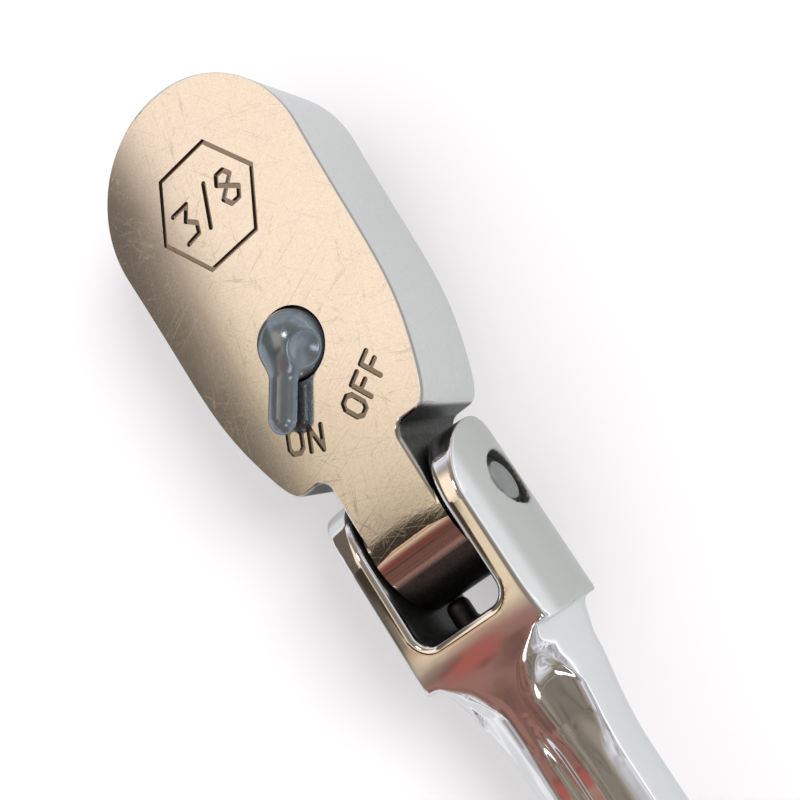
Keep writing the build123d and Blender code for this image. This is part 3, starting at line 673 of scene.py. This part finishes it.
def bare_and_shade_share(x, y, z):
    """1 where the handle is unplated and painted dark as shade: inside the slot, the plunger's bore
    and the pin hole.
    """
    in_slot = ease(-slot_field(x, y), -0.35, -0.1) * ease(np.abs(z), 7.9, 6.9)
    in_recess = ease(np.hypot(x, z), 3.5, 3.3)
    from_middle = np.abs(x - PLUNGER_BORE_MIDDLE)
    in_bore = ease(np.hypot(y - PLUNGER_BORE_Y, z), 1.8, 1.6) * ease(from_middle, 7.0, 6.5)
    return np.maximum(np.maximum(in_slot, in_recess), in_bore)


def handle_field(x, y, z):
    """The forged handle: fork, fluted neck and oval grip."""
    wide, high = np.abs(y), np.abs(z)
    narrowing = ease(x, NECK_START, NECK_END)
    height = FORK_HALF_HEIGHT + (NECK_HALF_HEIGHT - FORK_HALF_HEIGHT) * narrowing
    height = height + (GRIP_HALF_HEIGHT - NECK_HALF_HEIGHT) * ease(x, 34, 120)
    crown = CROWN * y ** 2 * (1 - ease(x, 22, 30))
    top = high - height + crown
    # fork: barrel-sided pads with a ridge along their middle and round tips
    pad = (wide - (FORK_RIDGE_WIDTH - PAD_TAPER * high - PAD_BARREL * high ** 2)) / 1.1
    pad = soft_max(pad, x - FORK_LENGTH, 2.2 - 1.8 * ease(high, 0, 5))
    # neck and grip
    width = FORK_HALF_WIDTH + (NECK_HALF_WIDTH - FORK_HALF_WIDTH) * narrowing
    width = width + NECK_SWELL * ease(x, 40, 84)
    width = width + (GRIP_HALF_WIDTH - NECK_FAR_HALF_WIDTH) * ease(x, 84, 128)
    width = width - GRIP_TAPER * ease(x, 128, 217)
    end = HANDLE_LENGTH - GRIP_END_RADIUS
    side = np.where(x > end, np.hypot(x - end, wide), wide) - width
    # bevel between the top face and the side, which widens as the neck narrows to its rib
    plain = ease(x, 80, 100)
    bevel_top = 7.7 - 3.4 * ease(x, 12.0, 20.0) + (width - 5.3) * plain
    bevel_foot = 0.5 + 2.5 * ease(x, 14, 21) + (height - 4.0) * plain
    rise, run = height - bevel_foot, width - bevel_top
    bevel = ((wide - bevel_top) * rise + (high - height) * run) / np.hypot(rise, run)
    rounding = 0.8 + 2.4 * ease(x, 15, 19) * (1 - plain)
    sides = soft_min(pad, np.maximum(soft_max(side, bevel, rounding), -x), 0.5)
    tip = np.where(x < 0, np.hypot(x, z) - FORK_HALF_HEIGHT + crown, top)
    roll = ease(x, 13.5, 17) * (1 - ease(x, 24, 30))
    body = soft_max(sides, tip, 0.35 + 2.4 * roll + 5.0 * ease(x, 75, 115))
    # shallow flutes, cut by a ball drawn along the neck, with bowed ends
    bow = 0.25 * np.maximum(4.2 - wide, 0) ** 2 + 1.1 * np.maximum(wide - 4.8, 0) ** 2
    along = np.clip(x, FLUTE_START + np.minimum(bow, 4.0), FLUTE_END)
    aside = FLUTE_CENTRE[0] + 0.3 * ease(x, FLUTE_START, 30)
    flute = np.sqrt(
        (2.0 * (x - along)) ** 2 + (wide - aside) ** 2 + (high - height - FLUTE_CENTRE[1]) ** 2
    ) - FLUTE_RADIUS
    body = soft_max(body, -flute, 0.45 + 0.9 * ease(wide, 3.0, 5.0))
    # fine groove along the upper and lower ribs, tapering in
    along = np.clip(x, GROOVE_START, FLUTE_END - 1)
    lift = GROOVE_RADIUS + 0.15 - 0.6 * ease(x, GROOVE_START, GROOVE_START + 6)
    groove = np.sqrt((x - along) ** 2 + y ** 2 + (high - height - lift) ** 2) - GROOVE_RADIUS
    body = soft_max(body, -groove, 0.25)
    body = soft_max(body, -slot_field(x, y), 1.0)
    # pin hole and its recesses
    from_pin = np.hypot(x, z)
    recess = np.maximum(from_pin - PIN_RECESS_RADIUS, FORK_RIDGE_WIDTH - PIN_RECESS_DEPTH - wide)
    body = soft_max(body, -np.minimum(from_pin - PIN_RADIUS, recess), 0.2)
    # bore for the joint plunger
    past_end = np.abs(x - PLUNGER_BORE_MIDDLE) - PLUNGER_BORE_HALF_LENGTH
    bore = np.maximum(np.hypot(y - PLUNGER_BORE_Y, z) - PLUNGER_BORE, past_end)
    return np.maximum(body, -bore)


def make_handle():
    """The handle, replacing the plain CAD solid."""
    pin_low, pin_high = (np.array(corner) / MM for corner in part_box("pivot_pin"))
    pin = (pin_low + pin_high) / 2
    drop = math.asin((pin[2] - GRIP_HALF_HEIGHT) / (HANDLE_LENGTH - LONG_EDGE_RADIUS))
    place = Matrix.Translation(pin.tolist()) @ Matrix.Rotation(drop, 4, "Y")
    # cells are coarser along the grip, and finer across the groove in the middle of the rib
    fine, coarse = 0.3, 0.9
    axes = (
        np.concatenate([np.arange(-8.8, 34, fine), np.arange(34, 227, coarse)]),
        np.concatenate([
            np.arange(-10.8, -1.5, fine),
            np.arange(-1.5, 1.5, fine / 2),
            np.arange(1.5, 10.81, fine),
        ]),
        np.arange(-8.7, 8.71, fine),
    )
    handle = shape_piece(
        "handle_forging", handle_field, axes, place, MATERIALS["chrome"], bare_and_shade_share
    )
    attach(handle, "handle")
    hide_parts("handle")


# ---------------------------------------------------------------- reversing lever
# The lever's frame: z along its shaft from the head's top face, x along its tail.
LEVER_REST_ANGLE = -36.0
LEVER_KNOB_RADIUS = 3.95
LEVER_KNOB_HEIGHT = 3.3
LEVER_SHAFT_RADIUS = 2.95
LEVER_SHAFT_BOTTOM = -11.5
LEVER_TAIL_LENGTH = 10.2
LEVER_TAIL_HALF_WIDTH = 2.15
LEVER_TAIL_HALF_THICKNESS = 1.15
LEVER_TAIL_ROUNDING = 2.6
LEVER_SCOOP_CENTRE = (0.9, 6.2, 4.6)
LEVER_SCOOP_RADIUS = 4.95
LEVER_GROOVES = ((-2.4, 2.05, 1.0), (-11.25, 2.45, 0.7))   # bottom, inner radius and height
LEVER_HOLE_Z = -8.55
LEVER_HOLE_RADIUS = 1.25
LEVER_HOLE_END = 1.8


def lever_field(x, y, z):
    """The cast lever: domed knob with a thumb scoop, raised tail, and its shaft below."""
    radial = np.hypot(x, y)
    scaled = np.sqrt((radial / LEVER_KNOB_RADIUS) ** 2 + (z / LEVER_KNOB_HEIGHT) ** 2)
    steep = np.sqrt((radial / LEVER_KNOB_RADIUS ** 2) ** 2 + (z / LEVER_KNOB_HEIGHT ** 2) ** 2)
    dome = scaled * (scaled - 1) / np.maximum(steep, 1e-6)
    knob = np.where(z > 0, dome, radial - LEVER_KNOB_RADIUS)
    knob = soft_max(knob, -1.2 - z, 0.2)
    # tail with rounded edges, rising slightly to its tip
    along = np.clip(x, 0, LEVER_TAIL_LENGTH - LEVER_TAIL_HALF_WIDTH)
    outline = np.hypot(x - along, y) - LEVER_TAIL_HALF_WIDTH
    middle = 1.45 + 0.03 * x
    slab = np.abs(z - middle) - LEVER_TAIL_HALF_THICKNESS
    tail = soft_max(outline, slab, LEVER_TAIL_ROUNDING)
    body = soft_min(knob, tail, 0.9)
    scoop_x, scoop_y, scoop_z = LEVER_SCOOP_CENTRE
    scoop = np.sqrt((x - scoop_x) ** 2 + (y - scoop_y) ** 2 + (z - scoop_z) ** 2)
    scoop = scoop - LEVER_SCOOP_RADIUS
    body = soft_max(body, -scoop, 0.3)
    shaft = np.maximum(radial - LEVER_SHAFT_RADIUS, np.maximum(LEVER_SHAFT_BOTTOM - z, z))
    body = np.minimum(body, shaft)
    # grooves for the seal and the snap ring, and the plunger's cross hole
    for bottom, radius, tall in LEVER_GROOVES:
        groove = np.maximum(np.abs(z - bottom - tall / 2) - tall / 2, radius - radial)
        body = np.maximum(body, -np.maximum(groove, radial - 3.5))
    cross = np.hypot(y, z - LEVER_HOLE_Z) - LEVER_HOLE_RADIUS
    cross = np.maximum(cross, x - LEVER_HOLE_END)
    return np.maximum(body, -cross)


def make_lever():
    """The reversing lever, replacing the plain CAD solid."""
    seal_low, seal_high = (Vector(corner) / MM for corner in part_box("lever_seal"))
    axis = (seal_low + seal_high) / 2
    place = Matrix.Translation((axis.x, axis.y, HEAD_TOP))
    place = place @ Matrix.Rotation(math.radians(LEVER_REST_ANGLE), 4, "Z")
    cell = 0.17
    axes = (
        np.arange(-4.3, 10.6, cell), np.arange(-4.3, 4.31, cell), np.arange(-11.9, 4.0, cell)
    )
    lever = shape_piece("lever_casting", lever_field, axes, place, MATERIALS["cast_lever"])
    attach(lever, "lever")
    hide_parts("reversing_lever")


make_handle()
make_lever()
dress_cad_nodes()
